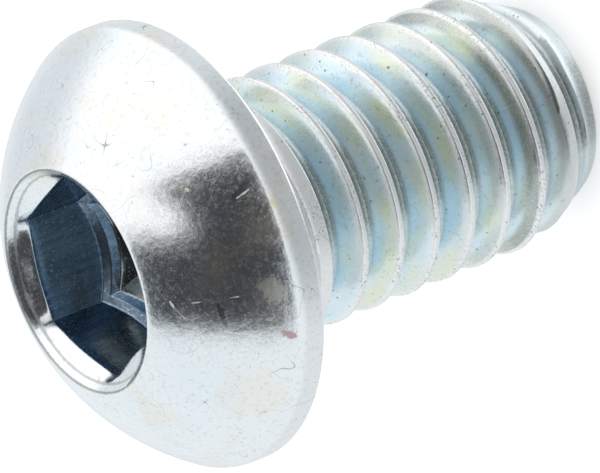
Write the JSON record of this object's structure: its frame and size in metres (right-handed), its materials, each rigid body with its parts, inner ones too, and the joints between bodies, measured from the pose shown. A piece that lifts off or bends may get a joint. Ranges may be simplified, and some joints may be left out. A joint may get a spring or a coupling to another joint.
{
  "type": "button head socket screw",
  "caption": "Zinc plated button head screw with a hexagon socket, a domed head and a short fully threaded metric shank with a chamfered point.",
  "frame": {"origin": "centre of the bearing face under the head, on the screw's axis", "axes": "+Z along the axis, out of the head, so the shank points towards -Z; +X through one corner of the hexagon socket"},
  "size_m": [0.0102, 0.0102, 0.0129],
  "materials": {
    "zinc_plate": "satin"
  },
  "bodies": {
    "root": {"button_head_screw": "zinc_plate"}
  },
  "joints": []
}
